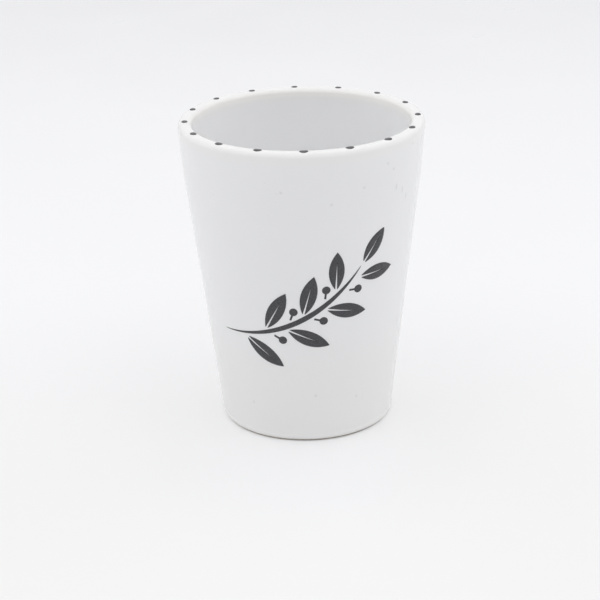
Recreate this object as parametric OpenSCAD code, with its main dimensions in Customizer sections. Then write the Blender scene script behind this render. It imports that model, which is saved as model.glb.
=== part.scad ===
// Ceramic shot cup: a tapered clay body under white glaze, with enamel dots on the lip
// and an enamel leaf sprig on the front. Millimetres, +Z up. The origin is the centre of
// the foot on the table, and the sprig faces -Y.

/* [Cup] */
// Outside diameter of the wall line where it meets the rim plane
mouth_d = 50.4; // [46:0.1:64]
// Outside diameter of the wall line where it meets the table
base_d = 35.1; // [28:0.1:42]
// Height from the table to the crest of the lip
cup_h = 63; // [50:0.5:100]
// Finished wall thickness, with the glaze on both faces
wall_t = 3.2; // [2.6:0.05:4.5]
// Finished floor thickness, with the glaze on both faces
floor_t = 4; // [3:0.1:8]
// Radius between the inside wall and the floor
floor_r = 6; // [2:0.5:10]
// How far the wall has curved in from its straight line at the rim plane
rim_in = 0.5; // [0:0.05:0.8]
// Height of the curved stretch, below the rim plane
rim_curve_h = 13; // [8:0.5:20]
// Radius of the lip outside its level crest
lip_r = 1.1; // [0.8:0.05:1.5]
// Width of the level crest
lip_flat = 0.6; // [0.2:0.05:0.8]

/* [Foot] */
// Width of the bare clay ring that stands on the table
foot_w = 3; // [2:0.1:6]
// Height of the hollow under the floor, up to its glaze
foot_h = 1; // [0.5:0.1:2]
// Chamfer round the outside of the ring
foot_chamfer = 0.1; // [0.1:0.05:0.3]
// Height of the bare clay between the table and the outer glaze
bare_h = 0.35; // [0.3:0.05:2]

/* [Glaze and enamel] */
// Thickness of the glaze
glaze_t = 0.3; // [0.15:0.05:0.5]
// Thickness of the enamel that stands on the glaze
enamel_t = 0.1; // [0.06:0.01:0.2]

/* [Rim dots] */
// Number of dots round the lip
dot_count = 16; // [8:1:22]
// Length along the lip of the dot in front
dot_l = 1.8; // [1:0.05:2]
// Width across the lip of the dot in front
dot_w = 1.4; // [1:0.05:1.6]
// Share by which the dot behind is smaller
dot_fade = 0.25; // [0:0.05:0.3]
// Turn of the first dot from straight behind
dot_turn = 2; // [0:0.1:22]
// Greatest drift of the hand-set dots from even places
dot_drift = 1.8; // [0:0.1:3]
// Where the drift is greatest, turned from straight behind
drift_from = 47; // [0:1:359]

/* [Sprig] */
// Height of the sprig's middle above the table
sprig_z = 32; // [28:0.5:40]
// Sideways place of the stem's middle
stem_x = -2.5; // [-4:0.5:3]
// Place of the stem's middle above the sprig's middle
stem_z = -1; // [-3:0.5:3]
// Sideways reach of the stem, seen from the front
stem_run = 27; // [20:0.5:28]
// Rise of the stem from its foot to its tip
stem_rise = 15; // [8:0.5:18]
// Depth of the stem's bow below the straight line
stem_bow = 3.6; // [2:0.1:4.5]
// Thickness of the stem at its middle
stem_w = 1.1; // [0.6:0.05:1.6]
// Number of side leaves, which alternate along the stem
side_leaves = 7; // [4:1:8]
// Length of the leaf nearest the stem's foot
leaf_l = 9.5; // [6:0.5:11]
// Length of the leaf at the stem's tip
tip_leaf_l = 8; // [5:0.5:10]
// Width of a leaf
leaf_w = 3.2; // [2:0.1:4]
// Angle between a side leaf and the stem
leaf_spread = 46; // [40:1:56]
// Bare gap between a leaf and the stem
leaf_gap = 0.5; // [0.2:0.05:1]
// Width of the bare midrib at a leaf's base
rib_w = 0.45; // [0.2:0.05:0.8]
// Diameter of a berry
berry_d = 1.7; // [1:0.1:2]
// Length of a berry's stalk, from the stem's line to the berry's middle
stalk_l = 3.4; // [2.5:0.1:4]
// Thickness of a berry's stalk
stalk_w = 0.4; // [0.25:0.05:0.8]

/* [Hidden] */
$fn = 200;
// Straight steps in each rounded stretch of a profile
arc_steps = 12;
// How far a cutting shape runs past what it cuts
cut = 1;

taper = atan2((mouth_d - base_d) / 2, cup_h);
floor_z = foot_h + floor_t;

// The wall curves in from this height.
rim_from = cup_h - rim_curve_h;

// The lip is a level crest between two rounds that run into the wall's faces. The outer round
// takes at most this share of the wall beside the crest.
lip_share = 0.5;
lip_out_r = min(lip_r, lip_share * (wall_t - lip_flat));
// Lean of the outer wall where the lip starts, and that height
lip_lean = wall_lean(cup_h - lip_out_r);
lip_from = cup_h - lip_out_r * (1 + sin(lip_lean));
// Outer edge, middle and inner edge of the level crest
crest_out_r = wall_r(lip_from) - wall_in(lip_from) - lip_out_r * cos(lip_lean);
crest_r = crest_out_r - lip_flat / 2;
crest_in_r = crest_out_r - lip_flat;
// The straight inner wall and the level crest leave this radius inside.
lip_in_r = (crest_in_r - wall_r(cup_h, wall_t)) * cos(taper) / (1 - sin(taper));

foot_out_r = wall_r(0, glaze_t) - foot_chamfer;
foot_in_r = foot_out_r - foot_w;

// The stem's line is an arc of this chord, bowed down by stem_bow.
stem_chord = norm([stem_run, stem_rise]);
stem_lean = atan2(stem_rise, stem_run);
// Depth on either side of the wall that a printed shape is cut through
print_depth = 3;

// Where the first and last side leaf sit, as shares of the stem's length
leaf_from = 0.1;
leaf_to = 0.9;
// Length of a midrib, as a share of its leaf's
rib_share = 0.72;

// How far a berry stands ahead of the leaf across the stem, as a share of the stem's length
berry_ahead = 0.035;

// Every side leaf but the first and the last has a berry across the stem.
berries = side_leaves - 2;

function two_digits(i) = str(i < 10 ? "0" : "", i);
function numbered(name, count) = [for (i = [1:count]) str(name, "_", two_digits(i))];

dot_names = numbered("rim_dot", dot_count);
leaf_names = numbered("sprig_leaf", side_leaves);
berry_names = numbered("sprig_berry", berries);

clay_colour = [0.80, 0.74, 0.66];
glaze_colour = [0.93, 0.93, 0.93];
enamel_colour = [0.20, 0.20, 0.22];

// Radius at height z of a surface that lies inset below the wall's straight line
function wall_r(z, inset = 0) = base_d / 2 + z * tan(taper) - inset / cos(taper);

// Share of the curved stretch below height z, how far the wall has curved in there, and its lean
function rim_share(z) = max(0, z - rim_from) / rim_curve_h;
function wall_in(z) = rim_in * rim_share(z) ^ 2;
function wall_lean(z) = atan(tan(taper) - 2 * rim_in * rim_share(z) / rim_curve_h);

// Point inset square below the outer wall at height z
function wall_point(z, inset) =
    [wall_r(z) - wall_in(z), z] + inset * [-cos(wall_lean(z)), sin(wall_lean(z))];

function arc(centre, r, from, to) = [
    for (i = [0:arc_steps])
        let (a = from + (to - from) * i / arc_steps)
        centre + r * [cos(a), sin(a)]
];

function reversed(points) = [for (i = [len(points) - 1:-1:0]) points[i]];

// Outlines in radius and height, each inset below the finished surface

// Both halves of the lip meet at the middle of the crest.
function crest_point(inset) = [crest_r, cup_h - inset];

function lip_outside(inset) = concat(
    arc([crest_out_r, cup_h - lip_out_r], lip_out_r - inset, -lip_lean, 90),
    [crest_point(inset)]
);

// The curved stretch of the outer wall, up to where the lip starts
function rim_curve(inset) = [
    for (i = [0:arc_steps - 1]) wall_point(rim_from + (lip_from - rim_from) * i / arc_steps, inset)
];

function cup_outside(inset) = concat(rim_curve(inset), lip_outside(inset));

function lip_inside(inset) = concat(
    [crest_point(inset)],
    arc([crest_in_r, cup_h - lip_in_r], lip_in_r - inset, 90, 180 - taper)
);

function cup_inside(inset) =
    let (z = floor_z + floor_r, centre = [wall_r(z, wall_t + floor_r), z])
    concat(
        lip_inside(inset),
        arc(centre, floor_r + inset, -taper, -90),
        [[0, floor_z - inset]]
    );

// The glaze's lower edge draws in to the clay as a quarter round.
function glaze_edge() =
    let (along = [sin(taper), cos(taper)])
    arc([wall_r(bare_h, glaze_t), bare_h] + glaze_t * along, glaze_t, -90 - taper, -taper);

function foot_hollow() =
    let (top = foot_h + glaze_t)
    [[0, top], [foot_in_r - top, top], [foot_in_r, 0]];

module revolved(points) {
    rotate_extrude() polygon(points);
}

module clay_body() {
    color(clay_colour)
    revolved(concat(
        foot_hollow(),
        [[foot_out_r, 0], [wall_r(foot_chamfer, glaze_t), foot_chamfer]],
        cup_outside(glaze_t),
        cup_inside(glaze_t)
    ));
}

module outer_glaze() {
    color(glaze_colour)
    revolved(concat(glaze_edge(), cup_outside(0), reversed(cup_outside(glaze_t))));
}

module liner_glaze() {
    color(glaze_colour)
    revolved(concat(cup_inside(0), reversed(cup_inside(glaze_t))));
}

module base_glaze() {
    top = foot_h + glaze_t;
    color(glaze_colour)
    revolved([[0, foot_h], [foot_in_r - foot_h, foot_h], [foot_in_r - top, top], [0, top]]);
}

// Skin of enamel thickness over the level crest
module crest_film() {
    rotate_extrude()
        translate([crest_in_r, cup_h]) square([lip_flat, enamel_t]);
}

// Skin of enamel thickness over the upper quarter of a round, outside or inside the crest
module lip_film(edge_r, r, outside) {
    reach = r + enamel_t;
    rotate_extrude()
        translate([edge_r, cup_h - r])
            intersection() {
                difference() {
                    circle(reach);
                    circle(r);
                }
                translate([outside ? 0 : -reach, 0]) square(reach);
            }
}

// Skin of enamel thickness over the outer wall
module wall_film() {
    low = bare_h + 2 * glaze_t;
    revolved(concat(
        [wall_point(low, 0), wall_point(low, -enamel_t)],
        rim_curve(-enamel_t),
        reversed(rim_curve(0))
    ));
}

module rim_dot(i) {
    even = 360 * (i - 1) / dot_count;
    size = 1 - dot_fade * (1 + cos(even)) / 2;
    color(enamel_colour)
    intersection() {
        union() {
            lip_film(crest_out_r, lip_out_r, true);
            crest_film();
            lip_film(crest_in_r, lip_in_r, false);
        }
        rotate(dot_turn + even + dot_drift * cos(even - drift_from))
            translate([0, crest_r, cup_h - lip_in_r])
                linear_extrude(lip_in_r + cut) scale(size * [dot_l, dot_w]) circle(d = 1);
    }
}

// Enamel shape centred at a place on the front wall, given sideways and up from the
// sprig's middle. The shape's own X axis is turned up from the horizontal.
module printed(place, turn) {
    z = sprig_z + place.y;
    color(enamel_colour)
    intersection() {
        wall_film();
        rotate(asin(place.x / wall_r(z)))
            translate([0, -wall_r(z), z])
                rotate([90 + taper, 0, 0])
                    rotate(turn)
                        linear_extrude(2 * print_depth, center = true) children();
    }
}

function bow_radius(bow) = stem_chord ^ 2 / (8 * bow) + bow / 2;

function turned(v, angle) = [
    v.x * cos(angle) - v.y * sin(angle),
    v.x * sin(angle) + v.y * cos(angle)
];

// Centre of the circle through both ends of the stem with this bow
function bow_centre(bow) = [stem_x, stem_z] + turned([0, bow_radius(bow) - bow], stem_lean);

// Angle on the stem's circle, and direction of growth, at a share of its length
function stem_angle(share) =
    let (half = asin(stem_chord / 2 / bow_radius(stem_bow)))
    stem_lean - 90 + half * (2 * share - 1);

function stem_direction(share) = stem_angle(share) + 90;

function stem_point(share) =
    bow_centre(stem_bow) + bow_radius(stem_bow) * [cos(stem_angle(share)), sin(stem_angle(share))];

module sprig_stem() {
    color(enamel_colour)
    intersection() {
        wall_film();
        translate([0, 0, sprig_z])
            rotate([90, 0, 0])
                linear_extrude(mouth_d)
                    difference() {
                        translate(bow_centre(stem_bow + stem_w / 2))
                            circle(bow_radius(stem_bow + stem_w / 2));
                        translate(bow_centre(stem_bow - stem_w / 2))
                            circle(bow_radius(stem_bow - stem_w / 2));
                    }
    }
}

// Almond leaf along X, centred, with a bare midrib that starts at its base
module leaf_shape(length) {
    r = (length ^ 2 + leaf_w ^ 2) / (4 * leaf_w);
    rib_l = rib_share * length;
    difference() {
        intersection() {
            translate([0, r - leaf_w / 2]) circle(r);
            translate([0, leaf_w / 2 - r]) circle(r);
        }
        polygon([
            [-length / 2 - cut, -rib_w / 2],
            [rib_l - length / 2, 0],
            [-length / 2 - cut, rib_w / 2]
        ]);
    }
}

// Leaf that starts off its base point by the bare gap and the stem's thickness there
module leaf(base, direction, length, half_stem) {
    off = half_stem + leaf_gap + length / 2;
    printed(base + off * [cos(direction), sin(direction)], direction) leaf_shape(length);
}

// A side leaf's place from 0 at the stem's foot to 1 at its tip, and its side
function leaf_along(i) = (i - 1) / (side_leaves - 1);
function leaf_share(i) = leaf_from + (leaf_to - leaf_from) * leaf_along(i);
function leaf_side(i) = i % 2 == 0 ? 1 : -1;

module sprig_leaf(i) {
    share = leaf_share(i);
    length = leaf_l + (tip_leaf_l - leaf_l) * leaf_along(i);
    leaf(stem_point(share), stem_direction(share) + leaf_side(i) * leaf_spread, length, stem_w / 2);
}

module sprig_tip_leaf() {
    leaf(stem_point(1), stem_direction(1), tip_leaf_l, 0);
}

// Round berry on a stalk, centred, with the stalk along -X
module berry_shape() {
    stem_room = (stem_w / 2 + leaf_gap) / sin(leaf_spread);
    circle(d = berry_d);
    translate([stem_room - stalk_l, -stalk_w / 2])
        square([stalk_l - stem_room, stalk_w]);
}

module sprig_berry(i) {
    share = leaf_share(i + 1) + berry_ahead;
    direction = stem_direction(share) - leaf_side(i + 1) * leaf_spread;
    place = stem_point(share) + stalk_l * [cos(direction), sin(direction)];
    printed(place, direction) berry_shape();
}

clay_body();
outer_glaze();
liner_glaze();
base_glaze();
for (i = [1:dot_count])
    rim_dot(i);
sprig_stem();
sprig_tip_leaf();
for (i = [1:side_leaves])
    sprig_leaf(i);
for (i = [1:berries])
    sprig_berry(i);
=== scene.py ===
"""Ceramic shot cup: clay body, glaze coats and enamel decoration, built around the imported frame."""

import math
import random

import bmesh
import bpy
from mathutils import Matrix, Vector


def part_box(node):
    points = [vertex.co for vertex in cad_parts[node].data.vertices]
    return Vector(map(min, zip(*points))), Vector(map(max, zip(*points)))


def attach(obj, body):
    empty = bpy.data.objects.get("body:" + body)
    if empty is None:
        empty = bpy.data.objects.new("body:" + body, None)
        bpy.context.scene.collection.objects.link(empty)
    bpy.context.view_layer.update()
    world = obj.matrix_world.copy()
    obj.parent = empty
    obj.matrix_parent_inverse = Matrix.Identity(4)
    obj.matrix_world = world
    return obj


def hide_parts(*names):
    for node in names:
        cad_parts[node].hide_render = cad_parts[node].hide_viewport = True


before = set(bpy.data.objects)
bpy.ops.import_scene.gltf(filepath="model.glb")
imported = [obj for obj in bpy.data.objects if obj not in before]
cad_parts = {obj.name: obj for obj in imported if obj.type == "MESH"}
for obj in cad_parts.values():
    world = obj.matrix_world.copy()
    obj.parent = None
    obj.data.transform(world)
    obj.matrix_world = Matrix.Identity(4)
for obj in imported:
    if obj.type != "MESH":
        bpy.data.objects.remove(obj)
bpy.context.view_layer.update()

# Sizes of the cup, in metres
MM = 0.001
MOUTH_R = 25.2 * MM
BASE_R = 17.55 * MM
CUP_H = 63 * MM
WALL_T = 3.2 * MM
FLOOR_Z = 5 * MM
FLOOR_R = 6 * MM
RIM_IN = 0.5 * MM
RIM_CURVE_H = 13 * MM
LIP_OUT_R = 1.1 * MM
LIP_FLAT = 0.6 * MM
GLAZE_T = 0.3 * MM
BARE_H = 0.35 * MM
FOOT_W = 3 * MM
FOOT_H = 1 * MM
FOOT_ROUND = 0.1 * MM
FOOT_INNER_ROUND = 0.25 * MM
# Offset of that round's centre from the foot's inner edge, and the direction square to the hollow's flank
FOOT_INNER_SHIFT = 0.1 * MM
FLANK_SQUARE = -135

TAPER = math.atan2(MOUTH_R - BASE_R, CUP_H)
RIM_FROM = CUP_H - RIM_CURVE_H

# The glaze gathers in a low bead above its lower edge
BEAD_SWELL = 0.1 * MM
BEAD_Z = 1.0 * MM
BEAD_HALF = 0.8 * MM

# Fineness of the turned meshes
ROUND_STEPS = 240
ARC_STEPS = 18
WALL_STEPS = 30
RIM_STEPS = 12
BEAD_STEPS = 12
EDGE_STEPS = 8
FOOT_INNER_STEPS = 4
BASE_EDGE_STEPS = 6
FLOOR_STEPS = 8
MERGE = 0.001 * MM
# Edges that turn by more than this many degrees stay sharp
TURNED_SHARP = 40
ENAMEL_SHARP = 60


def wall_radius(height, inset=0.0):
    """Radius at a height of a surface that lies below the wall's straight line."""
    return BASE_R + height * math.tan(TAPER) - inset / math.cos(TAPER)


def rim_share(height):
    """Share of the curved stretch under the rim that lies below a height."""
    return max(0, height - RIM_FROM) / RIM_CURVE_H


def wall_lean(height):
    """How far the outer wall leans out there."""
    return math.atan(math.tan(TAPER) - 2 * RIM_IN * rim_share(height) / RIM_CURVE_H)


def wall_point(height, inset):
    """A point square below the outer wall."""
    lean = wall_lean(height)
    radius = wall_radius(height) - RIM_IN * rim_share(height) ** 2
    return (radius - inset * math.cos(lean), height + inset * math.sin(lean))


LIP_LEAN = wall_lean(CUP_H - LIP_OUT_R)
LIP_FROM = CUP_H - LIP_OUT_R * (1 + math.sin(LIP_LEAN))
CREST_OUT_R = wall_point(LIP_FROM, 0)[0] - LIP_OUT_R * math.cos(LIP_LEAN)
CREST_IN_R = CREST_OUT_R - LIP_FLAT
CREST_R = CREST_OUT_R - LIP_FLAT / 2
LIP_IN_R = (CREST_IN_R - wall_radius(CUP_H, WALL_T)) * math.cos(TAPER) / (1 - math.sin(TAPER))
FOOT_OUT_R = wall_radius(0, GLAZE_T) - FOOT_ROUND
FOOT_IN_R = FOOT_OUT_R - FOOT_W
HOLLOW_TOP = FOOT_H + GLAZE_T


# Outlines, in radius and height

def arc(centre, radius, start, end, steps=ARC_STEPS):
    """Points along an arc between two angles in degrees."""
    points = []
    for step in range(steps + 1):
        angle = math.radians(start + (end - start) * step / steps)
        points.append((centre[0] + radius * math.cos(angle), centre[1] + radius * math.sin(angle)))
    return points


def line(start, end, steps):
    """Points from start to end, without start itself."""
    points = []
    for step in range(1, steps + 1):
        share = step / steps
        points.append((start[0] + (end[0] - start[0]) * share, start[1] + (end[1] - start[1]) * share))
    return points


def rim_outside(inset):
    """From the start of the curved stretch up over the lip to the middle of the level crest."""
    curve = []
    for step in range(RIM_STEPS):
        curve.append(wall_point(RIM_FROM + (LIP_FROM - RIM_FROM) * step / RIM_STEPS, inset))
    centre = (CREST_OUT_R, CUP_H - LIP_OUT_R)
    lip = arc(centre, LIP_OUT_R - inset, -math.degrees(LIP_LEAN), 90)
    return curve + lip + [(CREST_R, CUP_H - inset)]


def lip_inside(inset):
    """From the middle of the level crest down to the top of the inner wall."""
    centre = (CREST_IN_R, CUP_H - LIP_IN_R)
    radius = LIP_IN_R - inset
    return [(CREST_R, CUP_H - inset)] + arc(centre, radius, 90, 180 - math.degrees(TAPER))


def inside_below_lip(inset):
    """Down the inner wall, round the corner and over the floor to the axis."""
    corner_z = FLOOR_Z + FLOOR_R
    corner = (wall_radius(corner_z, WALL_T + FLOOR_R), corner_z)
    turn = arc(corner, FLOOR_R + inset, -math.degrees(TAPER), -90)
    wall = line(lip_inside(inset)[-1], turn[0], WALL_STEPS)
    floor = line(turn[-1], (0, FLOOR_Z - inset), FLOOR_STEPS)
    return wall + turn[1:] + floor


def beaded_wall():
    """The outer glaze's face, from its rounded lower edge over the bead and up the straight wall."""
    along = (math.sin(TAPER), math.cos(TAPER))
    centre = (wall_radius(BARE_H, GLAZE_T) + GLAZE_T * along[0], BARE_H + GLAZE_T * along[1])
    edge = arc(centre, GLAZE_T, -90 - math.degrees(TAPER), -math.degrees(TAPER), EDGE_STEPS)
    bead_top = BEAD_Z + BEAD_HALF
    face = []
    for radius, height in line(edge[-1], (wall_radius(bead_top), bead_top), BEAD_STEPS):
        reach = (height - BEAD_Z) / BEAD_HALF
        face.append((radius + BEAD_SWELL * max(0, 1 - reach ** 2) ** 2, height))
    return edge + face + line(face[-1], rim_outside(0)[0], WALL_STEPS)


# Work at the bench: small steps that each piece is shaped with

def put_down():
    """Leaves edit mode and lets go of everything."""
    if bpy.context.object and bpy.context.object.mode != "OBJECT":
        bpy.ops.object.mode_set(mode="OBJECT")
    bpy.ops.object.select_all(action="DESELECT")


def take_up(piece):
    """Makes a piece the only one selected."""
    put_down()
    piece.select_set(True)
    bpy.context.view_layer.objects.active = piece


def name_piece(piece, name):
    piece.name = name
    piece.data.name = name
    return piece


def start_point(name, place):
    """A new piece in edit mode that is one selected point."""
    put_down()
    bpy.ops.mesh.primitive_plane_add(size=MM)
    piece = name_piece(bpy.context.object, name)
    bpy.ops.object.mode_set(mode="EDIT")
    bpy.ops.mesh.merge(type="CENTER")
    bpy.ops.transform.translate(value=place)
    return piece


def pick_points(piece, test):
    """Selects the points whose place passes a test, with the edges and faces between them."""
    bpy.ops.mesh.select_all(action="DESELECT")
    mesh = bmesh.from_edit_mesh(piece.data)
    mesh.select_mode = {"VERT"}
    for point in mesh.verts:
        if test(point.co):
            point.select_set(True)
    mesh.select_flush(True)
    bmesh.update_edit_mesh(piece.data)


def close_mesh():
    """Merges points that coincide and turns all faces outwards."""
    bpy.ops.mesh.select_all(action="SELECT")
    bpy.ops.mesh.remove_doubles(threshold=MERGE)
    bpy.ops.mesh.normals_make_consistent(inside=False)


def settle(piece, sharp_angle):
    """Puts a piece's place into its mesh and smooths its rounds."""
    take_up(piece)
    bpy.ops.object.transform_apply(location=True, rotation=True, scale=True)
    bpy.ops.object.shade_smooth_by_angle(angle=math.radians(sharp_angle))
    return piece


def copy_piece(piece, name):
    """A copy with a mesh of its own."""
    take_up(piece)
    bpy.ops.object.duplicate()
    return name_piece(bpy.context.object, name)


def fix_modifier(piece, modifier):
    take_up(piece)
    bpy.ops.object.modifier_apply(modifier=modifier.name)


# Turned pieces

def turned_piece(name, outline):
    """Draws an outline point by point and spins it once round the cup's axis."""
    piece = start_point(name, (outline[0][0], 0, outline[0][1]))
    for here, there in zip(outline, outline[1:]):
        step = (there[0] - here[0], 0, there[1] - here[1])
        bpy.ops.mesh.extrude_region_move(TRANSFORM_OT_translate={"value": step})
    bpy.ops.mesh.select_all(action="SELECT")
    bpy.ops.mesh.remove_doubles(threshold=MERGE)
    bpy.ops.mesh.spin(steps=ROUND_STEPS, angle=math.tau, center=(0, 0, 0), axis=(0, 0, 1))
    close_mesh()
    return settle(piece, TURNED_SHARP)


def make_clay_body():
    hollow = [(0, HOLLOW_TOP), (FOOT_IN_R - HOLLOW_TOP, HOLLOW_TOP)]
    inner_centre = (FOOT_IN_R + FOOT_INNER_SHIFT, FOOT_INNER_ROUND)
    inner_edge = arc(inner_centre, FOOT_INNER_ROUND, FLANK_SQUARE, -90, FOOT_INNER_STEPS)
    outer_edge = arc((FOOT_OUT_R, FOOT_ROUND), FOOT_ROUND, -90, -math.degrees(TAPER), EDGE_STEPS)
    wall = line(outer_edge[-1], rim_outside(GLAZE_T)[0], WALL_STEPS)
    lip = rim_outside(GLAZE_T)[1:] + lip_inside(GLAZE_T)[1:]
    outline = hollow + inner_edge + outer_edge + wall + lip + inside_below_lip(GLAZE_T)
    return turned_piece("fired_clay", outline)


def make_outer_glaze():
    face = beaded_wall() + rim_outside(0)[1:]
    back = list(reversed(rim_outside(GLAZE_T)))
    back += line(back[-1], face[0], WALL_STEPS)
    return turned_piece("glaze_outside", face + back)


def make_liner_glaze():
    face = lip_inside(0) + inside_below_lip(0)
    back = lip_inside(GLAZE_T) + inside_below_lip(GLAZE_T)
    return turned_piece("glaze_inside", list(reversed(face)) + back)


def make_base_glaze():
    """The glaze wiped into the hollow, with a rounded edge at the foot ring."""
    corner = (FOOT_IN_R - HOLLOW_TOP - GLAZE_T, HOLLOW_TOP)
    face = [(0, FOOT_H)] + arc(corner, GLAZE_T, -90, 0, BASE_EDGE_STEPS)
    return turned_piece("glaze_under_foot", face + [(0, HOLLOW_TOP)])


clay_body = make_clay_body()
outer_glaze = make_outer_glaze()
liner_glaze = make_liner_glaze()
base_glaze = make_base_glaze()


# Enamel laid on the glaze
ENAMEL_T = 0.1 * MM
EDGE_SHARE = 0.3
EDGE_W = 0.09 * MM
LAY_FROM = 4 * MM
DISC_POINTS = 24


def lay_down(piece):
    """Drops a flat piece along its own -Z axis onto the glaze."""
    wrap = piece.modifiers.new("lay", "SHRINKWRAP")
    wrap.wrap_method = "PROJECT"
    wrap.use_project_z = True
    wrap.use_negative_direction = True
    wrap.use_positive_direction = False
    wrap.target = outer_glaze
    wrap.auxiliary_target = liner_glaze
    fix_modifier(piece, wrap)


def thicken(piece):
    """Gives a laid piece the enamel's thickness, drawn down to a thin edge."""
    flat = bmesh.new()
    flat.from_mesh(piece.data)
    inner_points = [point.index for point in flat.verts if not point.is_boundary]
    flat.free()
    crown = piece.vertex_groups.new(name="crown")
    crown.add(inner_points, 1.0, "REPLACE")
    coat = piece.modifiers.new("coat", "SOLIDIFY")
    coat.thickness = ENAMEL_T
    coat.offset = 1
    coat.vertex_group = crown.name
    coat.thickness_vertex_group = EDGE_SHARE
    fix_modifier(piece, coat)
    piece.vertex_groups.clear()


def enamel_on(piece, place):
    """Holds a flat shape at its place, lays it on the glaze and thickens it."""
    piece.matrix_world = place
    lay_down(piece)
    thicken(piece)
    return settle(piece, ENAMEL_SHARP)


def flat_disc(name, radius, rings):
    """A round of enamel before it is laid, with rings of points to its middle."""
    put_down()
    bpy.ops.mesh.primitive_circle_add(vertices=DISC_POINTS, radius=radius, fill_type="NGON")
    piece = name_piece(bpy.context.object, name)
    bpy.ops.object.mode_set(mode="EDIT")
    bpy.ops.mesh.inset(thickness=EDGE_W, depth=0)
    for ring in range(rings):
        bpy.ops.mesh.inset(thickness=(radius - EDGE_W) / (rings + 1), depth=0)
    bpy.ops.mesh.poke()
    return piece


# Dots on the lip
DOT_COUNT = 16
DOT_L = 1.8 * MM
DOT_W = 1.4 * MM
DOT_FADE = 0.25
DOT_UNEVEN = 0.06
DOT_RINGS = 4
HAND_SEED = 16
hand = random.Random(HAND_SEED)


def make_lip_dots():
    """Each dot sits in the middle of its place on the crest, longer than wide and a little uneven."""
    pattern = flat_disc("dot_pattern", DOT_L / 2, DOT_RINGS)
    dots = []
    for number in range(1, DOT_COUNT + 1):
        node = "rim_dot_%02d" % number
        low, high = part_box(node)
        middle = (low + high) / 2
        size = 1 - DOT_FADE * (1 + math.cos(math.tau * (number - 1) / DOT_COUNT)) / 2
        across = size * DOT_W / DOT_L * (1 - DOT_UNEVEN * hand.random())
        along = size * (1 - DOT_UNEVEN * hand.random())
        turn = Matrix.Rotation(math.atan2(middle.y, middle.x), 4, "Z")
        oval = Matrix.Diagonal((across, along, 1, 1))
        place = Matrix.Translation((middle.x, middle.y, CUP_H + LAY_FROM)) @ turn @ oval
        dot = enamel_on(copy_piece(pattern, "enamel_dot_%02d" % number), place)
        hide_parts(node)
        dots.append(dot)
    bpy.data.objects.remove(pattern)
    return dots


# The sprig on the front, whose stem is an arc that bows below its chord
SPRIG_Z = 32 * MM
STEM_MIDDLE = Vector((-2.5 * MM, -1 * MM))
STEM_RUN = 27 * MM
STEM_RISE = 15 * MM
STEM_BOW = 3.6 * MM
STEM_W = 1.1 * MM
STEM_STEPS = 60
SIDE_LEAVES = 7
LEAF_L = 9.5 * MM
TIP_LEAF_L = 8 * MM
LEAF_W = 3.2 * MM
LEAF_SPREAD = math.radians(46)
LEAF_GAP = 0.5 * MM
LEAF_FROM = 0.1
LEAF_TO = 0.9
LEAF_STEPS = 28
LEAF_ROWS = (0.7, 0.5, 0)
BASE_CUT = 0.35 * MM
RIB_W = 0.45 * MM
RIB_SHARE = 0.72
RIB_RUN_OUT = 1 * MM
BERRIES = SIDE_LEAVES - 2
BERRY_R = 0.85 * MM
BERRY_AHEAD = 0.035
BERRY_RINGS = 3
STALK_L = 3.4 * MM
STALK_W = 0.4 * MM
STALK_STEPS = 4
# Shares of the berry's radius beyond which a point is where the stalk starts, or on the stalk
STALK_ROOT = 0.95
STALK_CLEAR = 1.01

STEM_CHORD = math.hypot(STEM_RUN, STEM_RISE)
STEM_LEAN = math.atan2(STEM_RISE, STEM_RUN)


def bow_radius(bow):
    return STEM_CHORD ** 2 / (8 * bow) + bow / 2


def stem_direction(share):
    """Which way the stem grows at a share of its length."""
    half = math.asin(STEM_CHORD / 2 / bow_radius(STEM_BOW))
    return STEM_LEAN + half * (2 * share - 1)


def along(direction):
    return Vector((math.cos(direction), math.sin(direction)))


def stem_point(share):
    radius = bow_radius(STEM_BOW)
    centre = STEM_MIDDLE + (radius - STEM_BOW) * along(STEM_LEAN + math.pi / 2)
    return centre + radius * along(stem_direction(share) - math.pi / 2)


def before_wall(spot, turn):
    """Where a flat shape is held, square to the wall, with its X axis turned up from level."""
    height = SPRIG_Z + spot.y
    radius = wall_radius(height)
    round_cup = Matrix.Rotation(math.asin(spot.x / radius), 4, "Z")
    out = Matrix.Translation((0, -radius, height))
    upright = Matrix.Rotation(math.pi / 2 + TAPER, 4, "X")
    turned = Matrix.Rotation(turn, 4, "Z")
    return round_cup @ out @ upright @ turned @ Matrix.Translation((0, 0, LAY_FROM))


def spin_arc(centre, angle, steps):
    """Runs the selected point along an arc, anticlockwise seen from +Z for a positive angle."""
    bpy.ops.mesh.spin(steps=steps, angle=-angle, center=centre, axis=(0, 0, 1))
    bpy.ops.mesh.select_all(action="SELECT")


def add_row(squeeze):
    """Extrudes the selected edge line in place and squeezes it towards the X axis."""
    bpy.ops.mesh.extrude_edges_move(TRANSFORM_OT_translate={"value": (0, 0, 0)})
    bpy.ops.transform.resize(value=(1, squeeze, 1), center_override=(0, 0, 0))


def face_up(piece):
    """Merges a flat piece's points and turns its faces to +Z."""
    close_mesh()
    mesh = bmesh.from_edit_mesh(piece.data)
    mesh.faces.ensure_lookup_table()
    if mesh.faces[0].normal.z < 0:
        bpy.ops.mesh.flip_normals()


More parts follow.
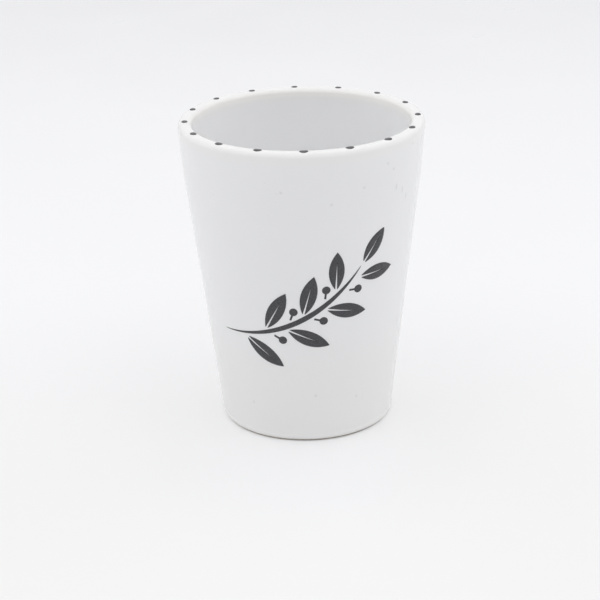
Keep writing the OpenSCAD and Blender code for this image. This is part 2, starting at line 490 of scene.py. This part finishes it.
def make_stem():
    """A thin lune between two arcs, widest at its middle."""
    low_bow = STEM_BOW + STEM_W / 2
    bows = [low_bow - EDGE_W, STEM_BOW, STEM_BOW - STEM_W / 2 + EDGE_W, STEM_BOW - STEM_W / 2]
    radius = bow_radius(low_bow)
    piece = start_point("enamel_stem", (-STEM_CHORD / 2, 0, 0))
    spin_arc((0, radius - low_bow, 0), 2 * math.asin(STEM_CHORD / 2 / radius), STEM_STEPS)
    last = low_bow
    for bow in bows:
        add_row(bow / last)
        last = bow
    face_up(piece)
    turned = Matrix.Rotation(math.pi / 2, 4, "X") @ Matrix.Rotation(STEM_LEAN, 4, "Z")
    place = Matrix.Translation((STEM_MIDDLE.x, -MOUTH_R - LAY_FROM, SPRIG_Z + STEM_MIDDLE.y)) @ turned
    stem = enamel_on(piece, place)
    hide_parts("sprig_stem")
    return stem


def cut_rib(offset, clear):
    """Cuts along a line beside the midrib, which ends at a share of the leaf's length."""
    tip = (RIB_SHARE - 0.5) * LEAF_L
    lean = math.atan2(RIB_W / 2, RIB_SHARE * LEAF_L + RIB_RUN_OUT)
    normal = Vector((math.sin(lean), math.cos(lean), 0))
    bpy.ops.mesh.select_all(action="SELECT")
    bpy.ops.mesh.bisect(
        plane_co=Vector((tip, 0, 0)) + offset * normal, plane_no=normal, clear_inner=clear, threshold=MERGE)


def make_leaf_pattern():
    """Half an almond leaf from its edge to its midrib, mirrored into a whole one."""
    radius = (LEAF_L ** 2 + LEAF_W ** 2) / (4 * LEAF_W)
    centre = (0, LEAF_W / 2 - radius, 0)
    start = math.asin((LEAF_L / 2 - BASE_CUT) / radius)
    end = math.asin(LEAF_L / 2 / radius)
    first = (-radius * math.sin(start), centre[1] + radius * math.cos(start), 0)
    piece = start_point("leaf_pattern", first)
    spin_arc(centre, -start - end, LEAF_STEPS)
    narrow = 1 - EDGE_W / (LEAF_W / 2)
    for squeeze in (narrow, *LEAF_ROWS):
        add_row(squeeze)
    face_up(piece)
    cut_rib(0, True)
    cut_rib(EDGE_W, False)
    bpy.ops.object.mode_set(mode="OBJECT")
    whole = piece.modifiers.new("whole", "MIRROR")
    whole.use_axis = (False, True, False)
    whole.merge_threshold = MERGE
    fix_modifier(piece, whole)
    bpy.ops.object.mode_set(mode="EDIT")
    face_up(piece)
    bpy.ops.object.mode_set(mode="OBJECT")
    return piece


def leaf_along(number):
    return (number - 1) / (SIDE_LEAVES - 1)


def leaf_share(number):
    return LEAF_FROM + (LEAF_TO - LEAF_FROM) * leaf_along(number)


def leaf_side(number):
    return 1 if number % 2 == 0 else -1


def set_leaf(pattern, name, node, share, direction, length, half_stem):
    """A copy of the leaf at its length, off the stem by the bare gap."""
    spot = stem_point(share) + (half_stem + LEAF_GAP + length / 2) * along(direction)
    size = Matrix.Diagonal((length / LEAF_L, 1, 1, 1))
    leaf = enamel_on(copy_piece(pattern, name), before_wall(spot, direction) @ size)
    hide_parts(node)
    return leaf


def make_leaves():
    pattern = make_leaf_pattern()
    leaves = []
    for number in range(1, SIDE_LEAVES + 1):
        share = leaf_share(number)
        direction = stem_direction(share) + leaf_side(number) * LEAF_SPREAD
        length = LEAF_L + (TIP_LEAF_L - LEAF_L) * leaf_along(number)
        name = "enamel_leaf_%02d" % number
        node = "sprig_leaf_%02d" % number
        leaves.append(set_leaf(pattern, name, node, share, direction, length, STEM_W / 2))
    leaves.append(
        set_leaf(pattern, "enamel_tip_leaf", "sprig_tip_leaf", 1, stem_direction(1), TIP_LEAF_L, 0))
    bpy.data.objects.remove(pattern)
    return leaves


def make_berries():
    """A round berry, with a stalk drawn out of its edge towards the stem."""
    pattern = flat_disc("berry_pattern", BERRY_R, BERRY_RINGS)
    stem_room = (STEM_W / 2 + LEAF_GAP) / math.sin(LEAF_SPREAD)
    pick_points(pattern, lambda place: place.x < -STALK_ROOT * BERRY_R)
    reach = STALK_L - stem_room - BERRY_R
    for step in range(STALK_STEPS):
        bpy.ops.mesh.extrude_edges_move(TRANSFORM_OT_translate={"value": (-reach / STALK_STEPS, 0, 0)})
    pick_points(pattern, lambda place: place.x < -STALK_CLEAR * BERRY_R)
    root_half = BERRY_R * math.sin(math.tau / DISC_POINTS)
    bpy.ops.transform.resize(value=(1, STALK_W / 2 / root_half, 1), center_override=(0, 0, 0))
    face_up(pattern)
    bpy.ops.object.mode_set(mode="OBJECT")
    berries = []
    for number in range(1, BERRIES + 1):
        share = leaf_share(number + 1) + BERRY_AHEAD
        direction = stem_direction(share) - leaf_side(number + 1) * LEAF_SPREAD
        spot = stem_point(share) + STALK_L * along(direction)
        berry = enamel_on(copy_piece(pattern, "enamel_berry_%02d" % number), before_wall(spot, direction))
        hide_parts("sprig_berry_%02d" % number)
        berries.append(berry)
    bpy.data.objects.remove(pattern)
    return berries


enamel = make_lip_dots() + [make_stem()] + make_leaves() + make_berries()


# Finishes, on coordinates in millimetres of the cup's own frame

# A noise has a scale, a detail and at times a roughness, and spots have a spacing and a radius
# Most values of a noise lie in this span
NOISE_SPAN = (0.3, 0.7)


def new_finish(name):
    finish = bpy.data.materials.new(name)
    finish.use_nodes = True
    return finish, finish.node_tree.nodes["Principled BSDF"]


def add_node(finish, kind, inputs, **settings):
    """A node with its settings, and its inputs each set to a value or joined to an output."""
    made = finish.node_tree.nodes.new(kind)
    for setting, value in settings.items():
        setattr(made, setting, value)
    for socket, value in inputs.items():
        if isinstance(value, bpy.types.NodeSocket):
            finish.node_tree.links.new(value, made.inputs[socket])
        else:
            made.inputs[socket].default_value = value
    return made


def join(finish, output, shader, socket):
    finish.node_tree.links.new(output, shader.inputs[socket])


def place_mm(finish):
    place = add_node(finish, "ShaderNodeTexCoord", {}).outputs["Object"]
    scaled = add_node(finish, "ShaderNodeVectorMath", {0: place, "Scale": 1 / MM}, operation="SCALE")
    return scaled.outputs[0]


def noise(finish, place, scale, detail, rough=0.5):
    inputs = {"Vector": place, "Scale": scale, "Detail": detail, "Roughness": rough}
    return add_node(finish, "ShaderNodeTexNoise", inputs).outputs["Fac"]


def ramp(finish, value, start, end, low=0.0, high=1.0):
    """Runs smoothly from low to high while value goes from start to end."""
    inputs = {"Value": value, "From Min": start, "From Max": end, "To Min": low, "To Max": high}
    node = add_node(finish, "ShaderNodeMapRange", inputs, interpolation_type="SMOOTHSTEP")
    return node.outputs["Result"]


def maths(finish, operation, first, second):
    return add_node(finish, "ShaderNodeMath", {0: first, 1: second}, operation=operation).outputs[0]


def vector_maths(finish, operation, first, second):
    return add_node(finish, "ShaderNodeVectorMath", {0: first, 1: second}, operation=operation)


def blend_colours(finish, share, first, second):
    """Two colours blended by a share. The mix node's inputs 6 and 7 and output 2 are its colours."""
    node = add_node(finish, "ShaderNodeMix", {0: share, 6: first, 7: second}, data_type="RGBA")
    return node.outputs[2]


def add_bump(finish, shader, height, depth):
    bump = add_node(finish, "ShaderNodeBump", {"Height": height, "Distance": depth, "Strength": 1.0})
    join(finish, bump.outputs["Normal"], shader, "Normal")


def spots(finish, place, spacing, radius):
    """1 in the middle of scattered spots and 0 outside them, sizes in millimetres."""
    cells = add_node(finish, "ShaderNodeTexVoronoi", {"Vector": place, "Scale": 1 / spacing})
    return ramp(finish, cells.outputs["Distance"], 0, radius / spacing, 1, 0)


COOL_WHITE = (0.898, 0.899, 0.910, 1)
SOFT_WHITE = (0.892, 0.893, 0.903, 1)
LOW_WHITE = (0.885, 0.881, 0.873, 1)
LIP_WHITE = (0.902, 0.892, 0.893, 1)
CREAM_WHITE = (0.938, 0.929, 0.912, 1)
PIT_GREY = (0.42, 0.42, 0.43, 1)
SPECK_TAN = (0.50, 0.43, 0.36, 1)

# Heights in millimetres between which one white runs into the next
LOW_TO_COOL = (6, 30)
COOL_TO_LIP = (59.5, 61.8)
CREAM_BELOW = (60.8, 61.8)
CREAM_ABOVE = (62.95, 62.5)

# Clouds, pits, specks, gloss and ripples of the white glaze, and how much cream and speckle a coat shows
WHITE_CLOUDS = (0.06, 2)
GLAZE_PITS = (5.5, 0.22)
GLAZE_SPECKS = (9.0, 0.25)
GLAZE_CLOUDS = (0.15, 3)
GLAZE_GLOSS = (0.10, 0.17)
GLAZE_RIPPLES = (0.3, 1)
RIPPLE_SHARE = 0.5
GLAZE_RELIEF = 0.02 * MM
OUTER_CREAM = 0
OUTER_SPECKLE = 0.35
LINER_CREAM = 1
LINER_SPECKLE = 0.08

# Marks that show on the wall, by turn from the front in degrees and height in millimetres
PITS_ABOVE = ((42, 58.7), (46, 57.2), (29, 54.9), (61, 60.7), (13, 52.3), (-10, 55.1))
PITS_BELOW = ((-36, 7.8), (5, 10.6), (32, 9))
PIT_REACH = (0.42, 0.42, 0.42)
SCUFFS = ((49, 53.2), (54, 52.1), (58, 50.3))
SCUFF_REACH = (0.35, 0.35, 1.1)
PIT_SHARE = 0.2
SCUFF_SHARE = 0.22
SCUFF_DULL = 0.1
MARK_CORE = 0.2


def wall_marks(finish, place, marks, reach):
    """1 in the core of each mark and 0 beyond its reach."""
    found = 0.0
    for turn, height in marks:
        radius = wall_point(height * MM, 0)[0] / MM
        middle = (radius * math.sin(math.radians(turn)), -radius * math.cos(math.radians(turn)), height)
        offset = vector_maths(finish, "SUBTRACT", place, middle).outputs[0]
        share = vector_maths(finish, "DIVIDE", offset, reach).outputs[0]
        length = add_node(finish, "ShaderNodeVectorMath", {0: share}, operation="LENGTH").outputs["Value"]
        found = maths(finish, "MAXIMUM", ramp(finish, length, MARK_CORE, 1, 1, 0), found)
    return found


def white_glaze(name, cream, speckle):
    """Cool white glaze with pits and iron specks, and a lighter cream band on the lip's inner slope.

    cream and speckle say how much of each shows, from 0 to 1.
    """
    finish, shader = new_finish(name)
    place = place_mm(finish)
    height = add_node(finish, "ShaderNodeSeparateXYZ", {0: place}).outputs["Z"]
    clouds = ramp(finish, noise(finish, place, *WHITE_CLOUDS), *NOISE_SPAN)
    colour = blend_colours(finish, clouds, COOL_WHITE, SOFT_WHITE)
    colour = blend_colours(finish, ramp(finish, height, *LOW_TO_COOL), LOW_WHITE, colour)
    colour = blend_colours(finish, ramp(finish, height, *COOL_TO_LIP), colour, LIP_WHITE)
    from_below = ramp(finish, height, *CREAM_BELOW)
    from_above = ramp(finish, height, *CREAM_ABOVE)
    slope = maths(finish, "MULTIPLY", from_below, from_above)
    colour = blend_colours(finish, maths(finish, "MULTIPLY", slope, cream), colour, CREAM_WHITE)
    pits = spots(finish, place, *GLAZE_PITS)
    colour = blend_colours(finish, maths(finish, "MULTIPLY", pits, speckle), colour, PIT_GREY)
    specks = spots(finish, place, *GLAZE_SPECKS)
    colour = blend_colours(finish, maths(finish, "MULTIPLY", specks, speckle), colour, SPECK_TAN)
    wall_pits = wall_marks(finish, place, PITS_ABOVE + PITS_BELOW, PIT_REACH)
    wall_scuffs = wall_marks(finish, place, SCUFFS, SCUFF_REACH)
    colour = blend_colours(finish, maths(finish, "MULTIPLY", wall_pits, PIT_SHARE), colour, PIT_GREY)
    colour = blend_colours(finish, maths(finish, "MULTIPLY", wall_scuffs, SCUFF_SHARE), colour, PIT_GREY)
    join(finish, colour, shader, "Base Color")
    gloss = ramp(finish, noise(finish, place, *GLAZE_CLOUDS), *NOISE_SPAN, *GLAZE_GLOSS)
    gloss = maths(finish, "ADD", gloss, maths(finish, "MULTIPLY", wall_scuffs, SCUFF_DULL))
    join(finish, gloss, shader, "Roughness")
    ripples = maths(finish, "MULTIPLY", noise(finish, place, *GLAZE_RIPPLES), RIPPLE_SHARE)
    add_bump(finish, shader, maths(finish, "SUBTRACT", ripples, pits), GLAZE_RELIEF)
    return finish


CHARCOAL = (0.025, 0.0255, 0.030, 1)
WORN_CHARCOAL = (0.055, 0.056, 0.063, 1)
PIN_GREY = (0.20, 0.20, 0.21, 1)
ENAMEL_SHEEN = 0.62
ENAMEL_GRAIN = (4.0, 4, 0.6)
WORN_SPAN = (0.35, 0.7)
ENAMEL_PINS = (0.9, 0.07)
ENAMEL_CLOUDS = (1.2, 3)
ENAMEL_GLOSS = (0.30, 0.46)
ENAMEL_RELIEF = 0.01 * MM


def charcoal_enamel():
    finish, shader = new_finish("satin_charcoal_enamel")
    shader.inputs["Specular IOR Level"].default_value = ENAMEL_SHEEN
    place = place_mm(finish)
    grain = noise(finish, place, *ENAMEL_GRAIN)
    colour = blend_colours(finish, ramp(finish, grain, *WORN_SPAN), CHARCOAL, WORN_CHARCOAL)
    pins = spots(finish, place, *ENAMEL_PINS)
    colour = blend_colours(finish, pins, colour, PIN_GREY)
    join(finish, colour, shader, "Base Color")
    gloss = ramp(finish, noise(finish, place, *ENAMEL_CLOUDS), *NOISE_SPAN, *ENAMEL_GLOSS)
    join(finish, gloss, shader, "Roughness")
    add_bump(finish, shader, maths(finish, "SUBTRACT", grain, pins), ENAMEL_RELIEF)
    return finish


CLAY_TAN = (0.38, 0.335, 0.285, 1)
CLAY_PALE = (0.48, 0.44, 0.39, 1)
CLAY_SPECK = (0.18, 0.15, 0.12, 1)
CLAY_GRAIN = (2.5, 6, 0.65)
CLAY_SPECKS = (1.4, 0.16)
CLAY_GLOSS = (0.95, 0.8)
CLAY_RELIEF = 0.05 * MM


def bare_clay():
    finish, shader = new_finish("rough_bare_clay")
    place = place_mm(finish)
    grain = noise(finish, place, *CLAY_GRAIN)
    colour = blend_colours(finish, ramp(finish, grain, *NOISE_SPAN), CLAY_TAN, CLAY_PALE)
    colour = blend_colours(finish, spots(finish, place, *CLAY_SPECKS), colour, CLAY_SPECK)
    join(finish, colour, shader, "Base Color")
    join(finish, ramp(finish, grain, *NOISE_SPAN, *CLAY_GLOSS), shader, "Roughness")
    add_bump(finish, shader, grain, CLAY_RELIEF)
    return finish


def dress(piece, finish):
    """Gives a piece its finish and joins it to the cup."""
    piece.data.materials.clear()
    piece.data.materials.append(finish)
    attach(piece, "root")


outer_finish = white_glaze("glossy_white_glaze", OUTER_CREAM, OUTER_SPECKLE)
liner_finish = white_glaze("cream_lipped_glaze", LINER_CREAM, LINER_SPECKLE)
enamel_finish = charcoal_enamel()
dress(clay_body, bare_clay())
dress(outer_glaze, outer_finish)
dress(liner_glaze, liner_finish)
dress(base_glaze, outer_finish)
for piece in enamel:
    dress(piece, enamel_finish)
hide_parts("clay_body")
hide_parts("outer_glaze")
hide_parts("liner_glaze")
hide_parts("base_glaze")


# Table, light and camera
FLOOR_SIZE = 4.0
FLOOR_WHITE = (0.896, 0.897, 0.908, 1)
FLOOR_CLOUDS = (0.02, 2)
FLOOR_SHEEN = 0.2
# Painted light on the table: the colours it glows in before, round and far behind the cup, brightest round
# the cup as a painted pool of light and dimmer far behind as painted falloff, and the millimetres where
# that changes
FRONT_GLOW = (0.937, 0.931, 0.920, 1)
CUP_GLOW = (0.978, 0.980, 1.0, 1)
FAR_GLOW = (0.845, 0.848, 0.870, 1)
GLOW_ROUND_CUP = 80
GLOW_FROM = 100
GLOW_FAR = 480
# The table glows least round a spot before the foot, where its shade is deepest
SHADE_SPOT = (0, -30, 0)
SHADE_REACH = (5, 40)
GLOW_SHARES = (0.05, 0.5)
ROOM_LIGHT = (0.055, 0.056, 0.058, 1)
BACKDROP = (0.92, 0.92, 0.925, 1)
PANEL_SIZE = 1.6
PANEL_AIM = Vector((0, 0, CUP_H / 2))
PANELS = {
    "panel_behind": ((0, 0.8, 0.8), 0.8),
    "panel_before": ((0, -0.7, 0.9), 7.0),
    "panel_left": ((-0.7, 0.1, 0.7), 8.3),
    "panel_right": ((0.7, 0.1, 0.7), 8.6),
}


def seen_rays(finish):
    """1 for what is seen, straight or in a mirroring or clear surface, and 0 for what lights the cup."""
    ray = add_node(finish, "ShaderNodeLightPath", {}).outputs
    seen = maths(finish, "MAXIMUM", ray["Is Camera Ray"], ray["Is Glossy Ray"])
    return maths(finish, "MAXIMUM", seen, ray["Is Transmission Ray"])


def make_floor():
    """A pale table, seen a little whiter than it is lit, but hardly so in the shade before the foot."""
    put_down()
    bpy.ops.mesh.primitive_plane_add(size=FLOOR_SIZE)
    floor = name_piece(bpy.context.object, "table_top")
    finish, shader = new_finish("pale_table")
    place = place_mm(finish)
    join(finish, noise(finish, place, *FLOOR_CLOUDS), shader, "Roughness")
    shader.inputs["Base Color"].default_value = FLOOR_WHITE
    shader.inputs["Specular IOR Level"].default_value = FLOOR_SHEEN
    # Painted light: the table glows brightest round the cup as a painted pool of light, and dims far behind
    # as painted falloff
    behind = add_node(finish, "ShaderNodeSeparateXYZ", {0: place}).outputs["Y"]
    past_cup = ramp(finish, behind, -GLOW_ROUND_CUP, GLOW_ROUND_CUP)
    colour = blend_colours(finish, past_cup, FRONT_GLOW, CUP_GLOW)
    colour = blend_colours(finish, ramp(finish, behind, GLOW_FROM, GLOW_FAR), colour, FAR_GLOW)
    glow = add_node(finish, "ShaderNodeEmission", {"Color": colour, "Strength": 1.0}).outputs[0]
    off_spot = vector_maths(finish, "DISTANCE", place, SHADE_SPOT).outputs["Value"]
    share = ramp(finish, off_spot, *SHADE_REACH, *GLOW_SHARES)
    share = maths(finish, "MULTIPLY", seen_rays(finish), share)
    both = add_node(finish, "ShaderNodeMixShader", {0: share, 1: shader.outputs[0], 2: glow}).outputs[0]
    join(finish, both, finish.node_tree.nodes["Material Output"], "Surface")
    floor.data.materials.append(finish)


def make_light():
    """Four soft panels round the cup, in a pale room whose backdrop is only seen and mirrored."""
    for name, (place, watts) in PANELS.items():
        put_down()
        bpy.ops.object.light_add(type="AREA", location=place)
        panel = bpy.context.object
        panel.name = name
        panel.rotation_euler = (PANEL_AIM - Vector(place)).to_track_quat("-Z", "Y").to_euler()
        panel.data.size = PANEL_SIZE
        panel.data.energy = watts
        panel.visible_glossy = False
    room = bpy.data.worlds.new("pale_room")
    bpy.context.scene.world = room
    room.use_nodes = True
    colour = blend_colours(room, seen_rays(room), ROOM_LIGHT, BACKDROP)
    join(room, colour, room.node_tree.nodes["Background"], "Color")


CAMERA_DISTANCE = 376.76 * MM
CAMERA_ELEVATION = math.radians(20.601)
CAMERA_AIM = Vector((-1.108 * MM, 0, 23.85 * MM))
CAMERA_ROLL = math.radians(-1.345)
CAMERA_LENS = 110.0
CAMERA_SENSOR = 36


def make_camera():
    put_down()
    back = Vector((0, -math.cos(CAMERA_ELEVATION), math.sin(CAMERA_ELEVATION)))
    place = Vector((0, 0, CUP_H / 2)) + CAMERA_DISTANCE * back
    bpy.ops.object.camera_add(location=place)
    camera = bpy.context.object
    look = (CAMERA_AIM - place).to_track_quat("-Z", "Y").to_matrix()
    camera.rotation_euler = (look @ Matrix.Rotation(CAMERA_ROLL, 3, "Z")).to_euler()
    camera.data.lens = CAMERA_LENS
    camera.data.sensor_width = CAMERA_SENSOR
    bpy.context.scene.camera = camera


make_floor()
make_light()
make_camera()
bpy.context.scene.view_settings.view_transform = "Standard"
